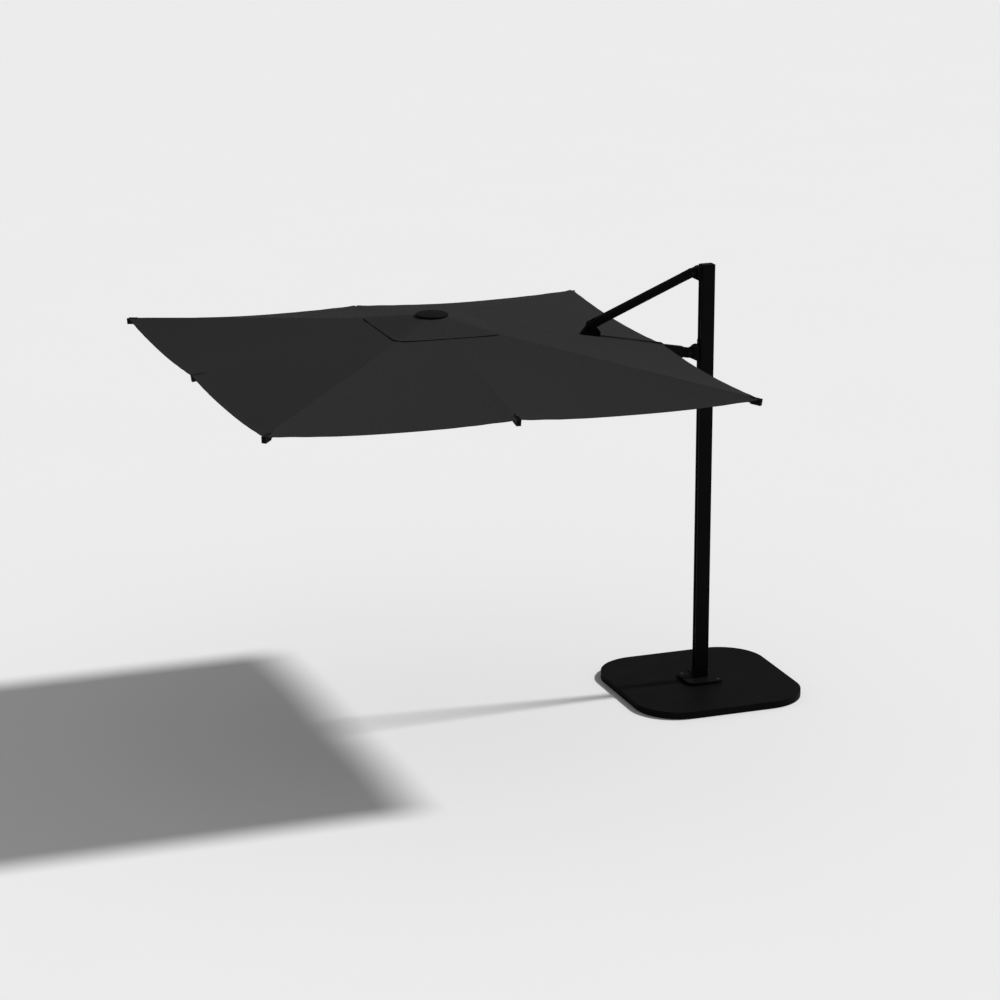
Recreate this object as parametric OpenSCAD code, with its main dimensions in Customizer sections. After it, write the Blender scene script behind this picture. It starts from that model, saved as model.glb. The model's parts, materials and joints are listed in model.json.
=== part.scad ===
// Cantilever parasol: a square canopy hung beside a slotted mast on a ballasted base.
// Origin: centre of the base's underside. +Z up, the canopy reaches out along -X.

/* [Base] */
// Side of the square base
base_side = 1110; // [1000:10:1200]
// Corner radius of the base
base_radius = 290; // [150:10:350]
// Height of the base
base_height = 47; // [44:1:60]
// Side of the flange at the mast's foot
flange_side = 250; // [230:5:300]

/* [Mast] */
// Size of the mast profile along X
mast_x = 90; // [84:1:94]
// Size of the mast profile along Y
mast_y = 62; // [60:1:70]
// Wall of the mast profile
mast_wall = 3; // [2.5:0.5:4]
// Width of the slot that the carriage runs in
slot_width = 24; // [24:1:26]
// Height of the mast's top
mast_top = 2760; // [2740:5:2800]

/* [Linkage] */
// Upper strut pivot, distance out from the mast's axis
strut_pivot_out = 105; // [103:1:108]
// Upper strut pivot, height
strut_pivot_height = 2712; // [2705:1:2715]
// Boom pivot on the carriage, distance out from the mast's axis
heel_pivot_out = 118; // [116:1:120]
// Boom pivot on the carriage, height
heel_pivot_height = 2206; // [2200:1:2210]
// Lower strut pivot, distance out from the mast's axis
lug_pivot_out = 770; // [760:1:780]
// Lower strut pivot, height
lug_pivot_height = 2437; // [2430:1:2440]
// Depth of the strut tube
strut_depth = 57; // [54:1:58]
// Width of the strut tube
strut_width = 40; // [40:1:42]
// Depth of the boom tube
boom_depth = 72; // [70:1:74]
// Width of the boom tube
boom_width = 44; // [44:1:46]

/* [Canopy] */
// Side of the square canopy
canopy_side = 3000; // [2950:10:3050]
// Distance from the mast's axis out to the crown's axis
crown_out = 1800; // [1790:5:1810]
// Height of the canopy's corners, on average
corner_height = 2325; // [2315:5:2335]
// Height of the middle of each side, on average
side_height = 2312; // [2305:1:2320]
// How much higher the far side stands than the middle
canopy_tilt = 30; // [20:1:34]
// Height that the canopy's fabric would reach at the ribs' pivots
apex_height = 2558; // [2556:1:2562]
// How far each half of a hem sags
hem_sag = 30; // [20:1:40]
// Half of the side of the vent flap
flap_half = 332; // [300:4:350]

/* [Ribs] */
// Depth of a rib tube
rib_depth = 30; // [28:1:32]
// Width of a rib tube
rib_width = 20; // [20:1:21]
// Distance that the runner hangs below the ribs' pivots when folded
runner_drop = 590; // [580:5:600]

/* [Hidden] */
$fn = 48;

// Colours
frame_black = [0.045, 0.045, 0.05];
fabric_grey = [0.20, 0.20, 0.21];
stone_grey = [0.45, 0.44, 0.42];
steel_grey = [0.62, 0.63, 0.65];
plastic_black = [0.06, 0.06, 0.06];

// Running clearances
pin_gap = 0.05;
slide_gap = 0.5;
hair_gap = 0.3;

// Base stack, from the floor up
feet_height = 8;
foot_radius = 30;
foot_reach = 0.36;
tray_thick = 5;
cover_thick = 3;
flange_thick = 20;
flange_corner = 66;
washer_thick = 2;
tray_top = feet_height + tray_thick;
flange_top = base_height + flange_thick;
mast_foot = flange_top + washer_thick + hair_gap;
post_radius = 24;
post_top = 400;
boss_half = 110;
flange_screw_offset = 88;
flange_screw_radius = 5;

// Mast
mast_radius = 8;
cap_thick = 8;
cavity_x = mast_x / 2 - mast_wall;
cavity_y = mast_y / 2 - mast_wall;

// Linkage points in the XZ plane
strut_pivot = [-strut_pivot_out, strut_pivot_height];
heel_pivot = [-heel_pivot_out, heel_pivot_height];
lug_pivot = [-lug_pivot_out, lug_pivot_height];
nose_pivot = [-crown_out + 80, 2508];
pivot_pin = 7;
small_pin = 3;
tongue_half = 13.5;
fork_slot = tongue_half + hair_gap;
rod_slot = 5.2;
rod_offset = [11.3, 11.3];
rod_radius = 4;
knuckle_radius = 26;
strut_end = 58;
boom_end = 46;
lug_half = 12;
bracket_half = 24;
fork_reach = 30;
top_bolt_radius = 5;
top_bolt_pitch = 30;

// Carriage: it swings 7 mm towards the mast half-way down, so its gaps are wide there
carriage_gap = 9.5;
carriage_out = -37;
carriage_in = 24;
carriage_low = 1880;
carriage_high = 2285;
grip_radius = 14;
grip_out = 112;
grip_low = 1915;
grip_high = 2075;
button_radius = 8;

// Foot brake
pedal_pivot_y = 62;
pedal_pivot_z = 88;

function span(a, b) = norm([b[0] - a[0], b[1] - a[1]]);
function rise(a, b) = atan2(b[1] - a[1], a[0] - b[0]);
strut_length = span(strut_pivot, lug_pivot);
strut_drop = -rise(strut_pivot, lug_pivot);
boom_length = span(heel_pivot, nose_pivot);
boom_rise = rise(heel_pivot, nose_pivot);
// Strut lug seen from the boom: along the boom's axis, and above it
lug_along = span(heel_pivot, lug_pivot) * cos(rise(heel_pivot, lug_pivot) - boom_rise);
lug_above = span(heel_pivot, lug_pivot) * sin(rise(heel_pivot, lug_pivot) - boom_rise);

// Ribs: name, azimuth about the crown from the mast's side
RIBS = [
    ["left", 180], ["front", 270], ["back", 90],
    ["left_front", 225], ["left_back", 135], ["right_front", 315], ["right_back", 45]
];
pivot_radius = 75;
pivot_height = 2535;
hub_radius = 84;
rib_tongue = 7;
link_tongue = 5;
crown_post_radius = 19;
post_bottom = pivot_height - runner_drop - 50;
disc_height = 2584;
vent_radius = 200;
flap_inner = 24;
flap_height = 2537;
tip_below = 20;
rib_wall = 1.6;
rib_start = 32;
cap_length = 65;
lug_drop = 28;
half_side = canopy_side / 2;

function is_side(az) = az % 90 == 0;
function tip_radius(az) = is_side(az) ? half_side : half_side * sqrt(2);
function lean(az) = -canopy_tilt * sign(round(2 * cos(az)));
function tip_height(az) = (is_side(az) ? side_height : corner_height) + lean(az);
function rib_slope(az) =
    atan2(pivot_height - tip_height(az) + tip_below, tip_radius(az) - pivot_radius);
function rib_length(az) = (tip_radius(az) - pivot_radius) / cos(rib_slope(az));

// Stretchers: rib-side length, so that rib and stretcher hang in one line when folded
rest_drop = runner_drop * sin(rib_slope(180) + asin(2 * lug_drop / runner_drop));
function upper_link(az, guess, rounds) = rounds == 0 ? guess : upper_link(az,
    (pow(runner_drop, 2) - pow(rest_drop, 2))
        / (2 * (runner_drop - rest_drop * sin(rib_slope(az) + asin(lug_drop / guess)))),
    rounds - 1);
function link_upper(az) = upper_link(az, runner_drop / 2, 6);
function link_slope(az) = rib_slope(az) + asin(lug_drop / link_upper(az));
function lug_station(az) = sqrt(pow(link_upper(az), 2) - pow(lug_drop, 2));
function link_lower(az) = runner_drop - link_upper(az);
function link_rise(az) = atan2(
    rest_drop - link_upper(az) * sin(link_slope(az)), link_upper(az) * cos(link_slope(az)));
runner_height = pivot_height - rest_drop;

// Plain shapes
module rounded_rect(x, y, r) {
    square([x - 2 * r, y], center = true);
    square([x, y - 2 * r], center = true);
    for (i = [-1, 1], j = [-1, 1])
        translate([i * (x / 2 - r), j * (y / 2 - r)]) circle(r);
}

module plate(side, r, z0, z1)
    translate([0, 0, z0]) linear_extrude(z1 - z0) rounded_rect(side, side, r);

module round_bar(r, z0, z1)
    translate([0, 0, z0]) cylinder(r = r, h = z1 - z0);

module cross_pin(r, half)
    rotate([90, 0, 0]) cylinder(r = r, h = 2 * half, center = true);

module block(x0, x1, half_y, z0, z1)
    translate([x0, -half_y, z0]) cube([x1 - x0, 2 * half_y, z1 - z0]);

// A rounded tube along +X
module tube_x(x0, x1, depth, width, r, wall)
    translate([x0, 0, 0]) rotate([90, 0, 90]) linear_extrude(x1 - x0) difference() {
        rounded_rect(width, depth, r);
        rounded_rect(width - 2 * wall, depth - 2 * wall, max(r - wall, 1));
    }

module bar_x(x0, x1, depth, width, r)
    translate([x0, 0, 0]) rotate([90, 0, 90]) linear_extrude(x1 - x0)
        rounded_rect(width, depth, r);

// Frames of the moving members at rest: +X runs along the member
module at_point(p) translate([p[0], 0, p[1]]) children();
module along_strut() at_point(strut_pivot) rotate([0, strut_drop, 180]) children();
module along_boom() at_point(heel_pivot) rotate([0, -boom_rise, 180]) children();
module at_crown(az) translate([-crown_out, 0, 0]) rotate([0, 0, az]) children();
module along_rib(az) at_crown(az)
    translate([pivot_radius, 0, pivot_height]) rotate([0, rib_slope(az), 0]) children();
module along_stretcher(az) at_crown(az)
    translate([pivot_radius, 0, runner_height]) rotate([0, -link_rise(az), 0]) children();

// Base
module ballast_slabs() color(stone_grey) {
    half = base_side / 2 - 10;
    gap = 4;
    corner = base_radius - 10;
    intersection() {
        plate(2 * half, corner, tray_top, base_height - cover_thick - 1);
        for (i = [-1, 1], j = [-1, 1])
            translate([i * (half / 2 + gap), j * (half / 2 + gap), 0]) difference() {
                translate([-half / 2, -half / 2, 0]) cube([half, half, 100]);
                translate([-i * half / 2, -j * half / 2, 0])
                    cube([2 * boss_half, 2 * boss_half, 300], center = true);
            }
    }
}

module base_frame() color(frame_black) difference() {
    union() {
        plate(base_side - 2 * cover_thick - 4, base_radius - 5, feet_height, tray_top);
        plate(2 * boss_half - 10, 20, tray_top, base_height - cover_thick);
    }
    round_bar(post_radius + pin_gap, 0, 100);
    for (i = [-1, 1], j = [-1, 1])
        translate([i * flange_screw_offset, j * flange_screw_offset, 0])
            round_bar(flange_screw_radius + pin_gap, 0, 100);
}

module base_cover() color(frame_black) difference() {
    plate(base_side, base_radius, 3, base_height);
    plate(base_side - 2 * cover_thick, base_radius - cover_thick, 0, base_height - cover_thick);
    round_bar(post_radius + 1, 0, 100);
    for (i = [-1, 1], j = [-1, 1])
        translate([i * flange_screw_offset, j * flange_screw_offset, 0])
            round_bar(flange_screw_radius + 1, 0, 100);
}

// Four feet near the corners and one under the mast, where the load is
module levelling_feet() color(plastic_black) {
    round_bar(foot_radius, 0, feet_height);
    for (i = [-1, 1], j = [-1, 1])
        translate([i * base_side * foot_reach, j * base_side * foot_reach, 0])
            round_bar(foot_radius, 0, feet_height);
}

module foot_flange() color(frame_black) difference() {
    plate(flange_side, flange_corner, base_height, flange_top);
    round_bar(post_radius + pin_gap, 0, 100);
    for (i = [-1, 1], j = [-1, 1])
        translate([i * flange_screw_offset, j * flange_screw_offset, 0]) {
            round_bar(flange_screw_radius + pin_gap, 0, 100);
            translate([0, 0, flange_top - 6]) cylinder(r1 = 5.2, r2 = 11.2, h = 6);
        }
}

module flange_screws() color(frame_black)
    for (i = [-1, 1], j = [-1, 1])
        translate([i * flange_screw_offset, j * flange_screw_offset, 0]) {
            round_bar(flange_screw_radius, tray_top, flange_top - 5);
            translate([0, 0, flange_top - 5.8]) cylinder(r1 = 5, r2 = 10.6, h = 5.6);
        }

module swivel_post() color(steel_grey) difference() {
    round_bar(post_radius, feet_height, post_top);
    round_bar(post_radius - 5, feet_height - 1, post_top + 1);
}

module thrust_washer() color(plastic_black) difference() {
    round_bar(30, flange_top, flange_top + washer_thick);
    round_bar(post_radius + 0.2, 0, 100);
}

// Mast
module mast_section(grow)
    rounded_rect(mast_x + 2 * grow, mast_y + 2 * grow, mast_radius + grow);

module top_bolts_at()
    for (side = [-1, 1])
        translate([0, 0, strut_pivot_height - 16 + side * top_bolt_pitch / 2]) rotate([0, 90, 0])
            children();

module mast_profile() color(frame_black) difference() {
    translate([0, 0, mast_foot]) linear_extrude(mast_top - cap_thick - mast_foot) difference() {
        mast_section(0);
        mast_section(-mast_wall);
        translate([-mast_x / 2, 0]) square([4 * mast_wall, slot_width], center = true);
    }
    top_bolts_at() cylinder(r = top_bolt_radius + pin_gap, h = mast_x);
}

module mast_cap() color(frame_black) translate([0, 0, mast_top - cap_thick]) {
    translate([0, 0, -14]) linear_extrude(14) mast_section(-mast_wall - slide_gap);
    linear_extrude(4) mast_section(1);
    translate([0, 0, 4]) linear_extrude(2) mast_section(-1);
    translate([0, 0, 6]) linear_extrude(2) mast_section(-6);
}

module swivel_bushes() color(plastic_black) difference() {
    for (z = [mast_foot, post_top - 45])
        translate([0, 0, z]) linear_extrude(40) mast_section(-mast_wall - 0.2);
    round_bar(post_radius + pin_gap, 0, post_top + 10);
}

// Side view of a bracket: a pivot knuckle that widens into a foot along the mast
module bracket_side(pivot, foot_x, foot_low, foot_high) {
    translate(pivot) circle(knuckle_radius);
    polygon([
        [pivot[0] - 6, pivot[1] + knuckle_radius - 0.7],
        [foot_x - 14, pivot[1] + foot_high],
        [foot_x, pivot[1] + foot_high],
        [foot_x, pivot[1] - foot_low],
        [foot_x - 14, pivot[1] - foot_low],
        [pivot[0] - 6, pivot[1] - knuckle_radius + 0.7]
    ]);
}

module side_extrude(half_y) rotate([90, 0, 0]) linear_extrude(2 * half_y, center = true) children();

// A bracket is thin at the knuckle, between the fork's cheeks, and thick at its foot
module bracket_body(pivot, foot_x, foot_low, foot_high) {
    side_extrude(tongue_half) bracket_side(pivot, foot_x, foot_low, foot_high);
    intersection() {
        side_extrude(bracket_half) bracket_side(pivot, foot_x, foot_low, foot_high);
        block(pivot[0] + fork_reach, 0, bracket_half + 1, 0, mast_top);
    }
}

module top_bracket() color(frame_black) difference() {
    union() {
        bracket_body(strut_pivot, -mast_x / 2, 52, 40);
        block(-mast_x / 2 - 1, -10, slot_width / 2 - slide_gap,
            strut_pivot_height - 48, strut_pivot_height + 16);
    }
    at_point(strut_pivot) cross_pin(pivot_pin + pin_gap, 60);
    translate([-mast_x / 2 - 12, 0, 0]) top_bolts_at()
        cylinder(r = top_bolt_radius + pin_gap, h = mast_x);
}

module top_bracket_bolts() color(frame_black) top_bolts_at() {
    translate([0, 0, -mast_x / 2 - 8]) cylinder(r = top_bolt_radius, h = mast_x + 8);
    translate([0, 0, mast_x / 2]) cylinder(r = 8, h = 6);
}

module pin_with_heads(r, half_y) {
    cross_pin(r, half_y + 3);
    for (side = [-1, 1])
        translate([0, side * (half_y + 1.5 + hair_gap), 0]) cross_pin(r + 4, 1.5 - hair_gap);
}

module strut_top_pin() color(frame_black) at_point(strut_pivot) pin_with_heads(pivot_pin, strut_width / 2);

// Foot brake on the mast's hidden +Y side
module pedal_bracket() color(frame_black) difference() {
    union() {
        for (side = [-1, 1])
            translate([side * 19 - 3, mast_y / 2, 75]) cube([6, 42, 26]);
        translate([-22, mast_y / 2, 75]) cube([44, 4, 26]);
    }
    at_pedal() rotate([0, 0, 90]) cross_pin(4 + pin_gap, 40);
}

module at_pedal() translate([0, pedal_pivot_y, pedal_pivot_z]) children();

// The pad bears on the foot flange at rest, and lifts as the plate's outer end is pressed down
module brake_pedal() color(plastic_black) at_pedal() {
    pad = flange_top + hair_gap - pedal_pivot_z;
    rotate([0, 90, 0]) cylinder(r = 4, h = 50, center = true);
    rotate([0, 90, 0]) cylinder(r = 9, h = 31, center = true);
    rotate([90, 0, 90]) linear_extrude(30, center = true)
        polygon([[-22, pad], [-10, pad], [-10, -7], [4, -7], [66, 9], [66, 17], [4, 5], [-22, 5]]);
}

// A fork at the end of a rounded member: cheeks about the origin, then a plug inside the tube
module fork(depth, width, corner, wall, slot_half, eye, cheek_end, tube_start, plug_end) {
    difference() {
        union() {
            cross_pin(eye, width / 2);
            bar_x(0, tube_start, 2 * eye, width, 4);
            bar_x(cheek_end, tube_start, depth, width, corner);
        }
        block(-eye - 1, cheek_end, slot_half, -eye - 1, eye + 1);
        cross_pin(pivot_pin + pin_gap, width);
    }
    bar_x(tube_start, plug_end, depth - 2 * wall - 0.4, width - 2 * wall - 0.4, corner - wall);
}

module strut_tube() color(frame_black) along_strut()
    tube_x(strut_end, strut_length - strut_end, strut_depth, strut_width, 17, mast_wall);

module strut_head() color(frame_black) along_strut()
    fork(strut_depth, strut_width, 17, mast_wall, fork_slot, knuckle_radius - 1, 40, strut_end, 130);

module strut_fork() color(frame_black) along_strut() translate([strut_length, 0, 0]) rotate([0, 0, 180])
    fork(strut_depth, strut_width, 17, mast_wall, lug_half + hair_gap, knuckle_radius - 1,
        40, strut_end, 130);

// Boom
module boom_tube() color(frame_black) along_boom()
    tube_x(boom_end, boom_length - boom_end, boom_depth, boom_width, 8, mast_wall);

// Two side plates about a pivot, held together by a web under the levelling rod
module boom_plates() {
    inner = boom_width / 2 - mast_wall - 0.2;
    difference() {
        union() {
            cross_pin(knuckle_radius + 2, boom_width / 2);
            bar_x(0, boom_end, 2 * knuckle_radius + 8, boom_width, 4);
            bar_x(boom_end - 6, boom_end, boom_depth - 4, boom_width, 8);
            bar_x(boom_end, 130, boom_depth - 2 * mast_wall - 0.4, 2 * inner, 6);
        }
        block(-60, 140, fork_slot, -22, 60);
        block(-60, boom_end - 4, fork_slot, -60, 60);
        cross_pin(pivot_pin + pin_gap, 60);
    }
}

module boom_heel() color(frame_black) along_boom() boom_plates();
module boom_nose() color(frame_black) along_boom()
    translate([boom_length, 0, 0]) mirror([1, 0, 0]) boom_plates();

module strut_lug() color(frame_black) along_boom() translate([lug_along, 0, 0]) difference() {
    union() {
        translate([0, 0, lug_above]) cross_pin(knuckle_radius - 4, lug_half);
        side_extrude(lug_half) polygon([
            [-70, boom_depth / 2], [60, boom_depth / 2], [60, boom_depth / 2 + 8],
            [21, lug_above + 6], [-21, lug_above + 6], [-70, boom_depth / 2 + 34]
        ]);
        block(-80, 70, boom_width / 2, boom_depth / 2, boom_depth / 2 + 5);
    }
    translate([0, 0, lug_above]) cross_pin(pivot_pin + pin_gap, 60);
}

module strut_lug_pin() color(frame_black) at_point(lug_pivot) pin_with_heads(pivot_pin, strut_width / 2);

// Channel on top of the boom that takes the canopy's edge
module boom_tip_cap() color(plastic_black) along_boom()
    translate([(crown_out - half_side - heel_pivot_out) / cos(boom_rise), 0, boom_depth / 2]) {
        block(0, cap_length, 14, 0, 3);
        for (side = [-1, 1])
            translate([0, side * 12.5, 0]) block(0, cap_length, 1.5, 0, 9);
    }

// Carriage
module carriage() color(frame_black) {
    for (z = [carriage_low + 45, carriage_high - 45])
        block(carriage_out, carriage_in, cavity_y - slide_gap, z - 45, z + 45);
    block(carriage_out, carriage_in - 12, 18, carriage_low, carriage_high);
    block(-mast_x / 2 - carriage_gap, carriage_out, slot_width / 2 - slide_gap,
        carriage_low, carriage_high);
}

module carriage_bracket() color(frame_black) difference() {
    bracket_body(heel_pivot, -mast_x / 2 - carriage_gap, 52, 48);
    at_point(heel_pivot) cross_pin(pivot_pin + pin_gap, 60);
    rod_hollow(heel_pivot, heel_pivot[0] + 34);
}

// Space in a tongue for the levelling rod's eye, and the hole for its pin
module rod_hollow(pivot, x_in) {
    block(pivot[0] - 60, x_in, rod_slot, pivot[1] - 60, pivot[1] + 60);
    at_point(pivot + rod_offset) cross_pin(small_pin + pin_gap, 60);
}

module boom_heel_pin() color(frame_black) at_point(heel_pivot) pin_with_heads(pivot_pin, boom_width / 2);

module grip() color(plastic_black) difference() {
    union() {
        translate([-grip_out, 0, 0]) round_bar(grip_radius, grip_low, grip_high);
        for (z = [grip_low, grip_high]) {
            translate([-grip_out, 0, z]) sphere(grip_radius);
            translate([-grip_out, 0, z]) rotate([0, 90, 0])
                cylinder(r = grip_radius - 1, h = grip_out - mast_x / 2 - carriage_gap);
        }
        block(-mast_x / 2 - carriage_gap - 6, -mast_x / 2 - carriage_gap, 20,
            grip_low - 24, grip_high + 24);
    }
    at_button() cylinder(r = button_radius + pin_gap, h = 30);
}

module at_button() translate([-grip_out - grip_radius - 1, 0, grip_high]) rotate([0, 90, 0]) children();

module lock_button() color(steel_grey) at_button()
    translate([0, 0, -5]) cylinder(r = button_radius, h = 26);

// Levelling rod inside the boom: it keeps the crown upright
module along_rod() at_point(heel_pivot + rod_offset) rotate([0, -boom_rise, 180]) children();

module levelling_rod() color(steel_grey) along_rod() difference() {
    union() {
        rotate([0, 90, 0]) cylinder(r = rod_radius, h = boom_length);
        for (x = [0, boom_length])
            translate([x, 0, 0]) cross_pin(8, rod_radius);
    }
    for (x = [0, boom_length])
        translate([x, 0, 0]) cross_pin(small_pin + pin_gap, 20);
}

module rod_pins() color(frame_black) along_rod()
    for (x = [0, boom_length])
        translate([x, 0, 0]) cross_pin(small_pin, tongue_half - 0.2);

// Crown
module crown_hub() color(frame_black) difference() {
    union() {
        at_crown(0) round_bar(hub_radius, pivot_height - 14, pivot_height + 16);
        at_crown(0) round_bar(27, pivot_height - 60, pivot_height + 38);
        side_extrude(tongue_half) {
            translate(nose_pivot) circle(knuckle_radius);
            polygon([
                [-crown_out, pivot_height + 10],
                [nose_pivot[0] + 4, pivot_height + 10],
                [nose_pivot[0] + knuckle_radius, nose_pivot[1]],
                [nose_pivot[0], nose_pivot[1] - knuckle_radius],
                [-crown_out, pivot_height - 60]
            ]);
        }
    }
    for (rib = RIBS)
        at_crown(rib[1]) {
            block(pivot_radius - 11, hub_radius + 5, rib_tongue + hair_gap,
                pivot_height - 20, pivot_height + 20);
            translate([pivot_radius, 0, pivot_height]) cross_pin(small_pin + pin_gap, 14);
        }
    for (side = [-1, 1])
        at_crown(0) translate([48, side * (tongue_half + 8) - 8, pivot_height - 30]) cube([60, 16, 60]);
    at_crown(0) round_bar(crown_post_radius + pin_gap, 0, mast_top);
    at_point(nose_pivot) cross_pin(pivot_pin + pin_gap, 60);
    block(nose_pivot[0] - 40, nose_pivot[0] + 40, rod_slot, nose_pivot[1] - 40, pivot_height + 20);
    at_point(nose_pivot + rod_offset) cross_pin(small_pin + pin_gap, 60);
}

module crown_pins() color(frame_black) {
    at_point(nose_pivot) pin_with_heads(pivot_pin, boom_width / 2);
    for (rib = RIBS)
        at_crown(rib[1]) translate([pivot_radius, 0, pivot_height]) cross_pin(small_pin, 14);
}

module crown_post() color(frame_black) at_crown(0) difference() {
    round_bar(crown_post_radius, post_bottom, disc_height);
    round_bar(crown_post_radius - 3, post_bottom - 1, disc_height + 1);
}

module post_cap() color(plastic_black) at_crown(0) {
    round_bar(crown_post_radius - 3 - pin_gap, post_bottom, post_bottom + 20);
    round_bar(crown_post_radius + 2, post_bottom - 6, post_bottom);
}

module hub_disc() color(frame_black) at_crown(0) translate([0, 0, disc_height])
    rotate_extrude() polygon([[0, 0], [100, 0], [100, 6], [96, 9], [0, 12]]);

module runner() color(frame_black) at_crown(0) difference() {
    union() {
        round_bar(hub_radius + 2, runner_height - 11, runner_height + 11);
        round_bar(27, runner_height - 30, runner_height + 16);
    }
    round_bar(crown_post_radius + slide_gap, 0, mast_top);
    block(40, 100, 28, runner_height - 20, runner_height + 20);
    for (rib = RIBS)
        rotate([0, 0, rib[1]]) block(pivot_radius - 11, hub_radius + 5, 5,
            runner_height - 20, runner_height + 20);
}

// A rib: tube, root tongue, stretcher lugs with their pin, and the channel at the tip
module rib(az) along_rib(az) {
    length = rib_length(az);
    station = lug_station(az);
    difference() {
        union() {
            cross_pin(9, rib_tongue);
            block(0, rib_start, rib_tongue, -9, 9);
            bar_x(rib_start - 2, 80, rib_depth - 2 * rib_wall - 0.4, rib_width - 2 * rib_wall - 0.4, 1.5);
        }
        cross_pin(small_pin + pin_gap, 20);
    }
    tube_x(rib_start, length - 6, rib_depth, rib_width, 3, rib_wall);
    difference() {
        block(station - 16, station + 16, rib_width / 2, -lug_drop - 9, -rib_depth / 2);
        block(station - 20, station + 20, link_tongue + hair_gap, -60, -rib_depth / 2 - 2);
        translate([station, 0, -lug_drop]) cross_pin(small_pin + pin_gap, 20);
    }
    translate([station, 0, -lug_drop]) cross_pin(small_pin, rib_width / 2);
    tip_channel(length);
}

module tip_channel(length) {
    outer = rib_width / 2 + 4;
    floor_z = -rib_depth / 2 - 1;
    bar_x(length - 50, length - 3, rib_depth - 2 * rib_wall - 0.6, rib_width - 2 * rib_wall - 0.6, 1.5);
    block(length - 3, length, outer, floor_z - 3, 8);
    block(length - cap_length, length, outer, floor_z - 3, floor_z);
    for (side = [-1, 1])
        translate([0, side * (outer - 1.5), 0])
            block(length - cap_length, length, 1.5, floor_z - 3, 19);
}

module rib_left() color(frame_black) rib(180);
module rib_front() color(frame_black) rib(270);
module rib_back() color(frame_black) rib(90);
module rib_left_front() color(frame_black) rib(225);
module rib_left_back() color(frame_black) rib(135);
module rib_right_front() color(frame_black) rib(315);
module rib_right_back() color(frame_black) rib(45);

// A stretcher, from the runner up to a rib's lugs
module stretcher(az) along_stretcher(az) {
    length = link_lower(az);
    cross_pin(8, 4);
    block(0, 26, 4, -6, 6);
    bar_x(24, length - 26, 18, 12, 3);
    difference() {
        union() {
            block(length - 28, length, link_tongue, -6, 6);
            translate([length, 0, 0]) cross_pin(8, link_tongue);
        }
        translate([length, 0, 0]) cross_pin(small_pin + pin_gap, 20);
    }
}

module stretcher_left() color(frame_black) stretcher(180);
module stretcher_front() color(frame_black) stretcher(270);
module stretcher_back() color(frame_black) stretcher(90);
module stretcher_left_front() color(frame_black) stretcher(225);
module stretcher_left_back() color(frame_black) stretcher(135);
module stretcher_right_front() color(frame_black) stretcher(315);
module stretcher_right_back() color(frame_black) stretcher(45);

// Fabric. Points run round sixteen lines: eight along the ribs, and eight between them.
function polar(az, r, z) = [-crown_out + r * cos(az), r * sin(az), z];
function between(a, b, t) = a + (b - a) * t;
function fabric_height(az, r) = apex_height
    - (apex_height - tip_height(az)) * (r - pivot_radius) / (tip_radius(az) - pivot_radius);
function canopy_on_rib(az, t) =
    let (r = vent_radius + (tip_radius(az) - vent_radius) * t) polar(az, r, fabric_height(az, r));
function flap_on_rib(az, t) = between(
    polar(az, flap_inner, disc_height - 2),
    polar(az, flap_half * tip_radius(az) / half_side, flap_height), t);
function on_rib(flap, az, t) = flap ? flap_on_rib(az, t) : canopy_on_rib(az, t);
function on_line(flap, k, t) = k % 2 == 0
    ? on_rib(flap, 22.5 * k, t)
    : between(on_rib(flap, 22.5 * (k - 1), t), on_rib(flap, 22.5 * (k + 1), t), 0.5)
        - [0, 0, (flap ? 0.2 : 1) * hem_sag * t * t];

// A closed shell with a hole in its middle, made of rings of sixteen points
module shell(flap, steps, thick) {
    n = 16;
    top = [for (j = [0 : steps], k = [0 : n - 1]) on_line(flap, k, j / steps)];
    under = [for (p = top) p - [0, 0, thick]];
    low = len(top);
    function at(j, k) = j * n + k % n;
    function quad(a, b, c, d) = [[a, b, c], [a, c, d]];
    sheets = [for (j = [0 : steps - 1], k = [0 : n - 1]) each concat(
        quad(at(j, k), at(j, k + 1), at(j + 1, k + 1), at(j + 1, k)),
        quad(low + at(j, k), low + at(j + 1, k), low + at(j + 1, k + 1), low + at(j, k + 1)))];
    edges = [for (k = [0 : n - 1]) each concat(
        quad(at(0, k), low + at(0, k), low + at(0, k + 1), at(0, k + 1)),
        quad(at(steps, k), at(steps, k + 1), low + at(steps, k + 1), low + at(steps, k)))];
    polyhedron(concat(top, under), concat(sheets, edges));
}

module canopy_fabric() color(fabric_grey) difference() {
    shell(false, 3, 3);
    for (az = [0 : 45 : 315])
        at_crown(az) block(tip_radius(az) - cap_length - 6, tip_radius(az) + 10, 15,
            tip_height(az) - 60, tip_height(az) + 60);
    along_boom() block(lug_along - 88, lug_along + 78, boom_width / 2 + 4, 0, 200);
}

module vent_flap() color(fabric_grey) shell(true, 2, 1.5);

ballast_slabs();
base_frame();
base_cover();
levelling_feet();
foot_flange();
flange_screws();
swivel_post();
thrust_washer();
mast_profile();
mast_cap();
swivel_bushes();
top_bracket();
top_bracket_bolts();
strut_top_pin();
pedal_bracket();
brake_pedal();
strut_tube();
strut_head();
strut_fork();
boom_tube();
boom_heel();
boom_nose();
strut_lug();
strut_lug_pin();
boom_tip_cap();
carriage();
carriage_bracket();
grip();
boom_heel_pin();
lock_button();
levelling_rod();
rod_pins();
crown_hub();
crown_post();
hub_disc();
post_cap();
crown_pins();
canopy_fabric();
vent_flap();
rib_left();
rib_front();
rib_back();
rib_left_front();
rib_left_back();
rib_right_front();
rib_right_back();
stretcher_left();
stretcher_front();
stretcher_back();
stretcher_left_front();
stretcher_left_back();
stretcher_right_front();
stretcher_right_back();
runner();
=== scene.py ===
import json
import math

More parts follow.
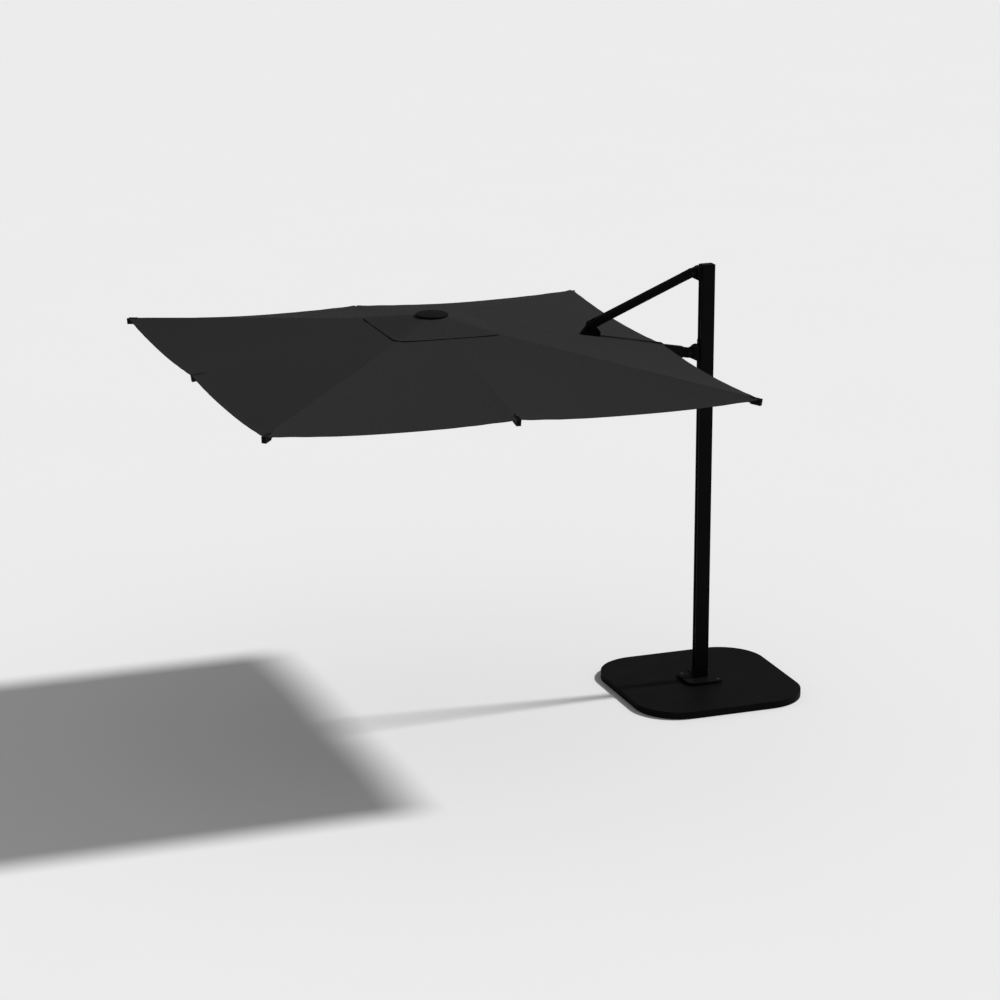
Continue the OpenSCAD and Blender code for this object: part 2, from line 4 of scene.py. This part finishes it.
import bpy
import numpy as np
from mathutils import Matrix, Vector


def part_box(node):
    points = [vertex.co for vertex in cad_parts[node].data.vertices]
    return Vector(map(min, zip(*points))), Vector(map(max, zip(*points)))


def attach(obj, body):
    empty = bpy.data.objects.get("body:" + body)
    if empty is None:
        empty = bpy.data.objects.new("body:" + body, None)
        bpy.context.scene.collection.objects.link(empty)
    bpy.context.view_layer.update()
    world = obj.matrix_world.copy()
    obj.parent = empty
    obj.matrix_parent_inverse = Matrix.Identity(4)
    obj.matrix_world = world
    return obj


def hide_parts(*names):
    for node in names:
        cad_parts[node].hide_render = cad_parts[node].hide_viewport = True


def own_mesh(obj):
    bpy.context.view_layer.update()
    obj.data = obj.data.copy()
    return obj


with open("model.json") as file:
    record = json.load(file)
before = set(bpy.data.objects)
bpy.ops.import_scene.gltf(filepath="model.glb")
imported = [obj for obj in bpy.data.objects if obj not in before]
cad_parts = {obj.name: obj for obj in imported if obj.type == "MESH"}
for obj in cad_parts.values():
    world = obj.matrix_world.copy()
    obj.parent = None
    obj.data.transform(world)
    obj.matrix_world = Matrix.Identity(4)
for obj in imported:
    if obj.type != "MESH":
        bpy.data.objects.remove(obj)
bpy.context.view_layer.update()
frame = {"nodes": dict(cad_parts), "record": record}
nodes = frame["nodes"]

# Places from the frame, in metres
fabric_low, fabric_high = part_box("canopy_fabric")
HALF_SIDE = (fabric_high.x - fabric_low.x) / 2
CROWN_X = (fabric_high.x + fabric_low.x) / 2
disc_low, disc_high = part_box("hub_disc")
DISC_RADIUS = (disc_high.x - disc_low.x) / 2

# The canopy's own dimensions, in metres and degrees
TIP_RISE = 0.0388  # from the lowest point of a rib's end channel up to the fabric
APEX_HEIGHT = 2.558
APEX_RADIUS = 0.075
VENT_RADIUS = 0.2
HEM_SAG = 0.030
CLOTH = 0.0012
CHANNEL_LENGTH = 0.065
TONGUE_HALF = 0.009
CHANNEL_OUTER = 0.0143
CHANNEL_GAP = 0.0005
TONGUE_DIP = 0.008
TONGUE_RAMP = 0.035
HEM_WIDTH = 0.028
FLAP_HALF = 0.338
FLAP_CORNER = 0.065
FLAP_GAP = 0.004
FLAP_TOP = disc_low.z - 0.003
FLAP_INNER = 0.06
FLAP_SAG = 0.002
FLAP_FLAT_SHARE = 0.88  # share of the disc's radius under which the flap lies level
LUG_HALF = 0.0215
LUG_TRIM_OUT = 0.0105  # the opening ends this far inside the lug's foot, on the crown's side
LUG_TRIM_IN = 0.0085  # and this far on the mast's side
PLACKET_WIDTH = 0.026
PLACKET_LIFT = 0.004

# Share of its width that each sort of cloth piece is to keep when the canopy is folded; this script
# sets up no folding with these values
SIDE_KEEP = 0.13
CORNER_KEEP = 0.19
FLAP_KEEP = 0.3

# Gloss of the dull surfaces, as levels of specular reflection
PAINT_GLOSS = 0.013
PLASTIC_GLOSS = 0.03
CLOTH_GLOSS = 0.015

# Relief of the sewn cloth, in metres
HEM_LIFT = 0.0011
STITCH_LIFT = 0.0004
STITCH_INSET = 0.004
STITCH_HALF = 0.0008
SEAM_LIFT = 0.0004
RIPPLE_HEIGHT = 0.0011
FOLD_DEPTH = 0.0030

# Light and camera, in metres, millimetres for the lens, and degrees
KEY_DIRECTION = (0.677, -0.02, 0.736)
KEY_STRENGTH = 3.1
KEY_SOFTNESS = 0.10
FILL_STRENGTH = 0.33
CAMERA_PLACE = (-8.394, -19.105, 7.399)
CAMERA_PITCH = 16.474
CAMERA_HEADING = 20.206
LENS_LENGTH = 124.15
SENSOR_WIDTH = 36
VIEW_DISTANCE = 1000
FLOOR_HALF = 300.0

# Each line of the canopy: azimuth about the crown from the mast's side, and the body that it rides on
LINES = {
    "right": (0, "boom", "crown_hinge"),
    "right_back": (45, "rib_right_back", "rib_right_back_hinge"),
    "back": (90, "rib_back", "rib_back_hinge"),
    "left_back": (135, "rib_left_back", "rib_left_back_hinge"),
    "left": (180, "rib_left", "rib_left_hinge"),
    "left_front": (225, "rib_left_front", "rib_left_front_hinge"),
    "front": (270, "rib_front", "rib_front_hinge"),
    "right_front": (315, "rib_right_front", "rib_right_front_hinge"),
}
GORE_ANGLE = 45


def line_direction(azimuth):
    a = math.radians(azimuth)
    return np.array([math.cos(a), math.sin(a), 0.0])


def is_side(azimuth):
    return azimuth % 90 == 0


def tip_radius(azimuth):
    return HALF_SIDE if is_side(azimuth) else HALF_SIDE * math.sqrt(2)


def rib_tip_height(name):
    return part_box("rib_" + name)[0].z + TIP_RISE


TIP_HEIGHT = {az: rib_tip_height(name) for name, (az, _, _) in LINES.items() if az}
TIP_HEIGHT[0] = 2 * TIP_HEIGHT[90] - TIP_HEIGHT[180]


# ---------------------------------------------------------------- materials

def new_material(name):
    material = bpy.data.materials.new(name)
    material.use_nodes = True
    tree = material.node_tree
    return material, tree, tree.nodes["Principled BSDF"]


def add_node(tree, kind, **values):
    node = tree.nodes.new(kind)
    for key, value in values.items():
        if hasattr(node, key):
            setattr(node, key, value)
        else:
            node.inputs[key.replace("_", " ").title()].default_value = value
    return node


def object_coordinates(tree, scale=(1, 1, 1)):
    place = add_node(tree, "ShaderNodeTexCoord")
    mapping = add_node(tree, "ShaderNodeMapping")
    mapping.inputs["Scale"].default_value = scale
    tree.links.new(place.outputs["Object"], mapping.inputs["Vector"])
    return mapping.outputs["Vector"]


def noise(tree, vector, scale, detail=4.0, roughness=0.55):
    node = add_node(tree, "ShaderNodeTexNoise")
    node.inputs["Scale"].default_value = scale
    node.inputs["Detail"].default_value = detail
    node.inputs["Roughness"].default_value = roughness
    tree.links.new(vector, node.inputs["Vector"])
    return node.outputs["Fac"]


def ramp(tree, factor, stops):
    node = add_node(tree, "ShaderNodeValToRGB")
    elements = node.color_ramp.elements
    while len(elements) < len(stops):
        elements.new(0.5)
    for element, (position, colour) in zip(elements, stops):
        element.position = position
        element.color = (*colour, 1)
    tree.links.new(factor, node.inputs["Fac"])
    return node.outputs["Color"]


def spread(tree, factor, low, high):
    node = add_node(tree, "ShaderNodeMapRange")
    node.inputs["To Min"].default_value = low
    node.inputs["To Max"].default_value = high
    tree.links.new(factor, node.inputs["Value"])
    return node.outputs["Result"]


def bump(tree, height, strength, distance, under=None):
    node = add_node(tree, "ShaderNodeBump")
    node.inputs["Strength"].default_value = strength
    node.inputs["Distance"].default_value = distance
    tree.links.new(height, node.inputs["Height"])
    if under is not None:
        tree.links.new(under, node.inputs["Normal"])
    return node.outputs["Normal"]


def grey(value):
    return (value, value, value * 1.04)


def powder_coat(name, dark, light, roughness, grain=900.0):
    """Powder coat: fine orange peel, slight clouding, and a little dust on its roughness."""
    material, tree, shader = new_material(name)
    place = object_coordinates(tree)
    clouds = noise(tree, place, 6.0, 5.0)
    shades = [(0.3, grey(dark)), (0.7, grey(light))]
    tree.links.new(ramp(tree, clouds, shades), shader.inputs["Base Color"])
    dust = noise(tree, place, 45.0, 6.0)
    tree.links.new(spread(tree, dust, roughness - 0.07, roughness + 0.09), shader.inputs["Roughness"])
    peel = noise(tree, place, grain, 2.0)
    tree.links.new(bump(tree, peel, 0.25, 0.0004), shader.inputs["Normal"])
    shader.inputs["Specular IOR Level"].default_value = PAINT_GLOSS
    return material


def brushed_metal(name, dark=(0.42, 0.43, 0.45), light=(0.60, 0.61, 0.63), metallic=1.0):
    material, tree, shader = new_material(name)
    place = object_coordinates(tree, (1, 1, 30))
    streaks = noise(tree, place, 260.0, 3.0)
    shades = [(0.25, dark), (0.75, light)]
    tree.links.new(ramp(tree, streaks, shades), shader.inputs["Base Color"])
    tree.links.new(spread(tree, streaks, 0.26, 0.42), shader.inputs["Roughness"])
    tree.links.new(bump(tree, streaks, 0.15, 0.0003), shader.inputs["Normal"])
    shader.inputs["Metallic"].default_value = metallic
    return material


def moulded_plastic(name):
    material, tree, shader = new_material(name)
    place = object_coordinates(tree)
    spots = noise(tree, place, 30.0, 4.0)
    shades = [(0.3, grey(0.006)), (0.8, grey(0.011))]
    tree.links.new(ramp(tree, spots, shades), shader.inputs["Base Color"])
    grain = add_node(tree, "ShaderNodeTexVoronoi")
    grain.inputs["Scale"].default_value = 700.0
    tree.links.new(place, grain.inputs["Vector"])
    tree.links.new(bump(tree, grain.outputs["Distance"], 0.35, 0.0004), shader.inputs["Normal"])
    tree.links.new(spread(tree, spots, 0.5, 0.62), shader.inputs["Roughness"])
    shader.inputs["Specular IOR Level"].default_value = PLASTIC_GLOSS
    return material


def cast_stone(name):
    material, tree, shader = new_material(name)
    place = object_coordinates(tree)
    blotches = noise(tree, place, 9.0, 8.0, 0.65)
    shades = [(0.3, (0.20, 0.195, 0.185)), (0.7, (0.38, 0.37, 0.35))]
    tree.links.new(ramp(tree, blotches, shades), shader.inputs["Base Color"])
    pores = noise(tree, place, 220.0, 6.0, 0.7)
    tree.links.new(bump(tree, pores, 0.6, 0.001), shader.inputs["Normal"])
    tree.links.new(spread(tree, pores, 0.8, 0.95), shader.inputs["Roughness"])
    return material


def woven_fabric(name, dark, light, thread=0.0016):
    """Plain weave of charcoal yarns: crossed waves for the threads, slubs, and a fine mottle."""
    material, tree, shader = new_material(name)
    place = object_coordinates(tree)
    heights = []
    for direction in ("X", "Y"):
        wave = add_node(tree, "ShaderNodeTexWave")
        wave.wave_type = "BANDS"
        wave.bands_direction = direction
        wave.inputs["Scale"].default_value = 1 / (thread * 20)
        wave.inputs["Distortion"].default_value = 0.35
        wave.inputs["Detail"].default_value = 1.0
        tree.links.new(place, wave.inputs["Vector"])
        heights.append(wave.outputs["Fac"])
    weave = add_node(tree, "ShaderNodeMath", operation="MULTIPLY")
    tree.links.new(heights[0], weave.inputs[0])
    tree.links.new(heights[1], weave.inputs[1])

    slubs = noise(tree, object_coordinates(tree, (1, 14, 1)), 60.0, 5.0, 0.7)
    fleck = noise(tree, object_coordinates(tree, (14, 1, 1)), 60.0, 5.0, 0.7)
    yarns = add_node(tree, "ShaderNodeMath", operation="ADD")
    tree.links.new(slubs, yarns.inputs[0])
    tree.links.new(fleck, yarns.inputs[1])
    mixed = add_node(tree, "ShaderNodeMath", operation="ADD")
    tree.links.new(yarns.outputs[0], mixed.inputs[0])
    tree.links.new(noise(tree, place, 120.0, 2.0, 0.6), mixed.inputs[1])
    shade = add_node(tree, "ShaderNodeMath", operation="MULTIPLY_ADD")
    tree.links.new(weave.outputs[0], shade.inputs[0])
    shade.inputs[1].default_value = 0.3
    tree.links.new(mixed.outputs[0], shade.inputs[2])
    mean = add_node(tree, "ShaderNodeMath", operation="MULTIPLY")
    tree.links.new(shade.outputs[0], mean.inputs[0])
    mean.inputs[1].default_value = 0.34
    yarn = ramp(tree, mean.outputs[0], [(0.40, grey(dark)), (0.68, grey(light))])
    tree.links.new(yarn, shader.inputs["Base Color"])

    clouds = noise(tree, place, 3.0, 4.0)
    tree.links.new(spread(tree, clouds, 0.86, 0.96), shader.inputs["Roughness"])
    coarse = bump(tree, noise(tree, place, 14.0, 4.0), 0.12, 0.004)
    tree.links.new(bump(tree, weave.outputs[0], 0.5, 0.0005, coarse), shader.inputs["Normal"])
    shader.inputs["Specular IOR Level"].default_value = CLOTH_GLOSS
    return material


SLOT_MATERIALS = {
    "frame_paint": powder_coat("frame_paint", 0.0044, 0.0060, 0.42),
    "casting_paint": powder_coat("casting_paint", 0.0038, 0.0052, 0.52, 500.0),
    "base_paint": powder_coat("base_paint", 0.0044, 0.0058, 0.52),
    "base_steel": powder_coat("base_steel", 0.0060, 0.0085, 0.55),
    "bare_steel": brushed_metal("bare_steel"),
    "black_steel": brushed_metal("black_steel", grey(0.0025), grey(0.005), 0.9),
    "black_plastic": moulded_plastic("black_plastic"),
    "stone": cast_stone("stone"),
    "fabric": woven_fabric("fabric", 0.0185, 0.0305),
}

for part in frame["record"]["subparts"]:
    node = nodes[part["node"]]
    node.data.materials.clear()
    node.data.materials.append(SLOT_MATERIALS[part["material_slot"]])


# ---------------------------------------------------------------- fabric

def line_height(azimuth, radius):
    share = (radius - APEX_RADIUS) / (tip_radius(azimuth) - APEX_RADIUS)
    return APEX_HEIGHT - (APEX_HEIGHT - TIP_HEIGHT[azimuth]) * share


def rib_point(azimuth, t):
    """A point of the cloth on one of its eight lines, from the vent at t = 0 to the hem at t = 1."""
    radius = VENT_RADIUS + (tip_radius(azimuth) - VENT_RADIUS) * t
    return np.array([CROWN_X, 0, line_height(azimuth, radius)]) + line_direction(azimuth) * radius


def ripple(point):
    """Slow unevenness of tensioned cloth, well under the sag between the ribs."""
    x, y = point[0], point[1]
    return RIPPLE_HEIGHT * math.sin(7.1 * x + 2.3 * y) * math.sin(5.3 * y - 1.9 * x + 0.6)


def tension_fold(u, t):
    """Shallow folds that run in from the tips, where the cloth is pulled into its channels."""
    pull = max(0.0, t - 0.55) / 0.45
    return FOLD_DEPTH * pull ** 2 * math.sin(math.pi * 9 * u) ** 2 * (1 - u * 2) ** 2


def canopy_point(azimuth, side, u, t):
    """The cloth between a line, where u is 0, and the next line on that side, where u is 1."""
    here, there = azimuth, (azimuth + side * GORE_ANGLE) % 360
    a, b = rib_point(here, t), rib_point(there, t)
    point = a + (b - a) * u
    point[2] -= HEM_SAG * t * t * 4 * u * (1 - u)
    point[2] += ripple(point) * min(1.0, 6 * u * (1 - u)) - tension_fold(min(u, 1 - u), t)
    return point


def gore_width(azimuth, side, t):
    next_azimuth = (azimuth + side * GORE_ANGLE) % 360
    return np.linalg.norm(rib_point(azimuth, t) - rib_point(next_azimuth, t))


def row_places(count, hem_length):
    """Rows from the vent to the hem, with a close set at each hem's fold and stitching."""
    close = [0.0, 0.0015, 0.004, HEM_WIDTH - STITCH_INSET, HEM_WIDTH, HEM_WIDTH + 0.0025]
    start, end = [c / hem_length for c in close], [1 - c / hem_length for c in reversed(close)]
    between = np.linspace(start[-1], end[0], count)[1:-1]
    return start + list(between) + end


def hem_lift(distance):
    """Extra thickness of the doubled cloth at a distance from a hem's edge, with a sewn groove."""
    if distance < 0.001 or distance > HEM_WIDTH:
        return 0.0
    return STITCH_LIFT if abs(distance - (HEM_WIDTH - STITCH_INSET)) < STITCH_HALF else HEM_LIFT


def seam_lift(offset):
    """A felled seam over each rib: flat in the middle and stepped down at its edges."""
    return SEAM_LIFT if offset < TONGUE_HALF + 0.0001 else 0.0


# Distances from a line: seam, the channel's two walls, and the opening round the strut's lug
NEAR_COLUMNS = [0.0, 0.005, TONGUE_HALF, 0.0104, CHANNEL_OUTER, LUG_HALF]
CANOPY_COLUMNS = 22
CANOPY_ROWS = 44
FLAP_COLUMNS = 14
FLAP_ROWS = 16
lug_low, lug_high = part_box("strut_lug")
LUG_START, LUG_END = [
    (abs(x - CROWN_X) - VENT_RADIUS) / (HALF_SIDE - VENT_RADIUS)
    for x in (lug_low.x + LUG_TRIM_OUT, lug_high.x - LUG_TRIM_IN)
]


def upward_normals(grid):
    normal = np.cross(np.gradient(grid, axis=1), np.gradient(grid, axis=0))
    normal /= np.linalg.norm(normal, axis=2, keepdims=True) + 1e-12
    return normal * np.where(normal[..., 2:3] < 0, -1.0, 1.0)


def solid_cloth(name, grid, lifts, holes=()):
    """A closed thin mesh from a grid of points. Lifts raise its upper side, and its underside is plain.

    Both sides are shaded smoothly, with the grid's own normals, and the cut edges are shaded flat."""
    rows, columns = grid.shape[:2]
    normal = upward_normals(grid)
    top = grid + normal * lifts[..., None]
    points = np.concatenate([top.reshape(-1, 3), (grid - normal * CLOTH).reshape(-1, 3)])
    shading = np.concatenate([upward_normals(top).reshape(-1, 3), -normal.reshape(-1, 3)])
    low = rows * columns

    kept = {(i, j) for i in range(rows - 1) for j in range(columns - 1)} - set(holes)
    sheets, edges = [], []
    for i, j in sorted(kept):
        corner = i * columns + j
        quad = [corner, corner + 1, corner + columns + 1, corner + columns]
        sheets += [quad, [low + v for v in quad[::-1]]]
        sides = {(i - 1, j): (0, 1), (i, j + 1): (1, 2), (i + 1, j): (2, 3), (i, j - 1): (3, 0)}
        for neighbour, (p, q) in sides.items():
            if neighbour not in kept:
                edges.append([quad[q], quad[p], low + quad[p], low + quad[q]])
    loop_normals = [shading[v] for face in sheets for v in face]
    for a, b, c, d in edges:
        flat = np.cross(points[b] - points[a], points[d] - points[a])
        loop_normals += [flat / (np.linalg.norm(flat) + 1e-12)] * 4

    faces = sheets + edges
    used = sorted({v for face in faces for v in face})
    place = {v: k for k, v in enumerate(used)}
    mesh = bpy.data.meshes.new(name)
    mesh.from_pydata(points[used].tolist(), [], [[place[v] for v in face] for face in faces])
    mesh.shade_smooth()
    mesh.normals_split_custom_set([tuple(n) for n in loop_normals])
    piece = bpy.data.objects.new(name, mesh)
    bpy.context.scene.collection.objects.link(piece)
    return piece


def flat_size(grid):
    """Width and length of a piece laid flat: its widest row from end to end, and its middle column."""
    widths = np.linalg.norm(grid[:, -1] - grid[:, 0], axis=1)
    middle = grid[:, grid.shape[1] // 2]
    return float(widths.max()), float(np.linalg.norm(np.diff(middle, axis=0), axis=1).sum())


def flat_area(grid):
    a = np.cross(grid[1:, :-1] - grid[:-1, :-1], grid[:-1, 1:] - grid[:-1, :-1])
    b = np.cross(grid[1:, :-1] - grid[1:, 1:], grid[:-1, 1:] - grid[1:, 1:])
    return (np.linalg.norm(a, axis=2).sum() + np.linalg.norm(b, axis=2).sum()) / 2


def column_share(column, width):
    """Share of the way to the next line. The first columns keep the seam's and channel's real width."""
    fixed = len(NEAR_COLUMNS)
    if column < fixed:
        return NEAR_COLUMNS[column] / width
    edge = NEAR_COLUMNS[-1] / width
    return edge + (0.5 - edge) * (column - fixed + 1) / CANOPY_COLUMNS


def tongue_dip(azimuth, distance, offset):
    """How far the cloth's tongue lies below the sheet beside it, in the channel at the tip."""
    if azimuth == 0 or offset > TONGUE_HALF + 0.001:
        return 0.0
    blend = (CHANNEL_LENGTH + TONGUE_RAMP - distance) / TONGUE_RAMP
    return TONGUE_DIP * min(1.0, max(0.0, blend))


def canopy_piece(name, azimuth):
    length = tip_radius(azimuth) - VENT_RADIUS
    hem_length = HALF_SIDE - VENT_RADIUS
    channel = 1 - (CHANNEL_LENGTH + CHANNEL_GAP) / length
    rows = sorted(row_places(CANOPY_ROWS, hem_length) + [channel, channel - 0.03 / length])
    if azimuth == 0:
        rows = sorted(rows + [LUG_START, LUG_END])
    last = len(NEAR_COLUMNS) + CANOPY_COLUMNS - 1
    columns = [(1, c) for c in range(last, 0, -1)] + [(-1, c) for c in range(last + 1)]
    grid = np.zeros((len(rows), len(columns), 3))
    lifts = np.zeros((len(rows), len(columns)))
    offsets = np.zeros((len(rows), len(columns)))
    for i, t in enumerate(rows):
        for j, (side, column) in enumerate(columns):
            width = gore_width(azimuth, side, t)
            u = column_share(column, width)
            offset = u * width
            grid[i, j] = canopy_point(azimuth, side, u, t)
            grid[i, j, 2] -= tongue_dip(azimuth, (1 - t) * length, offset)
            offsets[i, j] = offset
            hem = min(t, 1 - t) * hem_length
            lifts[i, j] = max(hem_lift(hem), seam_lift(offset))
            if azimuth == 0 and side == 1 and t >= LUG_END:
                lifts[i, j] += PLACKET_LIFT if offset < PLACKET_WIDTH else 0.0
    holes = []
    for i in range(len(rows) - 1):
        for j in range(len(columns) - 1):
            nearest = min(offsets[i, j], offsets[i, j + 1])
            farthest = max(offsets[i, j], offsets[i, j + 1])
            beside_tongue = nearest > TONGUE_HALF + 0.0005 and farthest < CHANNEL_OUTER + 0.0005
            if rows[i] >= channel - 1e-6 and beside_tongue:
                holes.append((i, j))
            in_opening = LUG_START - 1e-6 <= rows[i] < LUG_END - 1e-6
            if azimuth == 0 and in_opening and farthest < LUG_HALF + 0.0005:
                holes.append((i, j))
    piece = solid_cloth(name, grid, lifts, holes)
    return piece, flat_size(grid), flat_area(grid)


def flap_outline(angle):
    """Distance from the crown's axis to the flap's hem: a square with rounded corners."""
    a = abs((angle + 45) % 90 - 45)
    straight = FLAP_HALF / math.cos(math.radians(a))
    c = FLAP_HALF - FLAP_CORNER
    corner = math.atan2(c, FLAP_HALF)
    if math.radians(a) < corner:
        return straight
    b = c * (math.cos(math.radians(a)) + math.sin(math.radians(a)))
    return b + math.sqrt(b * b - 2 * c * c + FLAP_CORNER ** 2)


def flap_rim_height(azimuth, angle):
    """Height of the flap's hem: a small gap above the canopy's straight chords between its lines."""
    neighbour = (azimuth + math.copysign(GORE_ANGLE, angle)) % 360
    a = math.radians(abs(angle))
    share = math.tan(a) if is_side(azimuth) else 1 - math.tan(math.radians(GORE_ANGLE) - a)
    here, there = [line_height(az, flap_outline(az)) for az in (azimuth, neighbour)]
    return here + (there - here) * share + FLAP_GAP


def flap_piece(name, azimuth):
    rows = row_places(FLAP_ROWS, FLAP_HALF - FLAP_INNER)
    level = FLAP_FLAT_SHARE * DISC_RADIUS
    angles = np.linspace(GORE_ANGLE / 2, -GORE_ANGLE / 2, 2 * FLAP_COLUMNS + 1)
    grid = np.zeros((len(rows), len(angles), 3))
    lifts = np.zeros((len(rows), len(angles)))
    for i, t in enumerate(rows):
        for j, angle in enumerate(angles):
            outline = flap_outline(azimuth + angle)
            radius = FLAP_INNER + (outline - FLAP_INNER) * t
            fall = max(0.0, radius - level) / (outline - level)
            sag = FLAP_SAG * fall * (2 * angle / GORE_ANGLE) ** 2
            height = FLAP_TOP - (FLAP_TOP - flap_rim_height(azimuth, angle)) * fall - sag
            grid[i, j] = np.array([CROWN_X, 0, height]) + line_direction(azimuth + angle) * radius
            offset = radius * math.sin(math.radians(abs(angle)))
            lifts[i, j] = max(hem_lift((1 - t) * (FLAP_HALF - FLAP_INNER)), seam_lift(offset))
    return solid_cloth(name, grid, lifts), flat_size(grid), flat_area(grid)


for line, (azimuth, body, joint) in LINES.items():
    keep = SIDE_KEEP if is_side(azimuth) else CORNER_KEEP
    pieces = [
        (canopy_piece("canopy_" + line, azimuth), "canopy_fabric", keep),
        (flap_piece("flap_" + line, azimuth), "vent_flap", FLAP_KEEP),
    ]
    for (piece, size, area), cad_node, share in pieces:
        piece.data.materials.append(SLOT_MATERIALS["fabric"])
        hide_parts(cad_node)
        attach(piece, body)
        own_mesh(piece)


# ---------------------------------------------------------------- floor, light and camera

def pale_floor():
    material, tree, shader = new_material("studio_floor")
    place = object_coordinates(tree)
    shader.inputs["Roughness"].default_value = 0.9
    shader.inputs["Specular IOR Level"].default_value = 0.1
    shades = [(0.0, (0.795, 0.795, 0.795)), (1.0, (0.805, 0.805, 0.805))]
    shade = ramp(tree, noise(tree, place, 0.6), shades)
    tree.links.new(shade, shader.inputs["Base Color"])
    mesh = bpy.data.meshes.new("studio_floor")
    corners = [(i * FLOOR_HALF, j * FLOOR_HALF, 0) for i, j in ((-1, -1), (1, -1), (1, 1), (-1, 1))]
    mesh.from_pydata(corners, [], [(0, 1, 2, 3)])
    floor = bpy.data.objects.new("studio_floor", mesh)
    floor.data.materials.append(material)
    bpy.context.scene.collection.objects.link(floor)


pale_floor()
sun = bpy.data.lights.new("key_light", "SUN")
sun.energy = KEY_STRENGTH
sun.angle = KEY_SOFTNESS
key = bpy.data.objects.new("key_light", sun)
key.rotation_euler = Vector(KEY_DIRECTION).to_track_quat("Z", "Y").to_euler()
bpy.context.scene.collection.objects.link(key)

world = bpy.data.worlds.new("studio")
world.use_nodes = True
background = world.node_tree.nodes["Background"]
background.inputs["Color"].default_value = (1, 1, 1, 1)
background.inputs["Strength"].default_value = FILL_STRENGTH
bpy.context.scene.world = world
bpy.context.scene.view_settings.view_transform = "Standard"

lens = bpy.data.cameras.new("camera")
lens.lens = LENS_LENGTH
lens.sensor_width = SENSOR_WIDTH
lens.clip_end = VIEW_DISTANCE
camera = bpy.data.objects.new("camera", lens)
camera.location = CAMERA_PLACE
camera.rotation_euler = (math.radians(90 - CAMERA_PITCH), 0, -math.radians(CAMERA_HEADING))
bpy.context.scene.collection.objects.link(camera)
bpy.context.scene.camera = camera
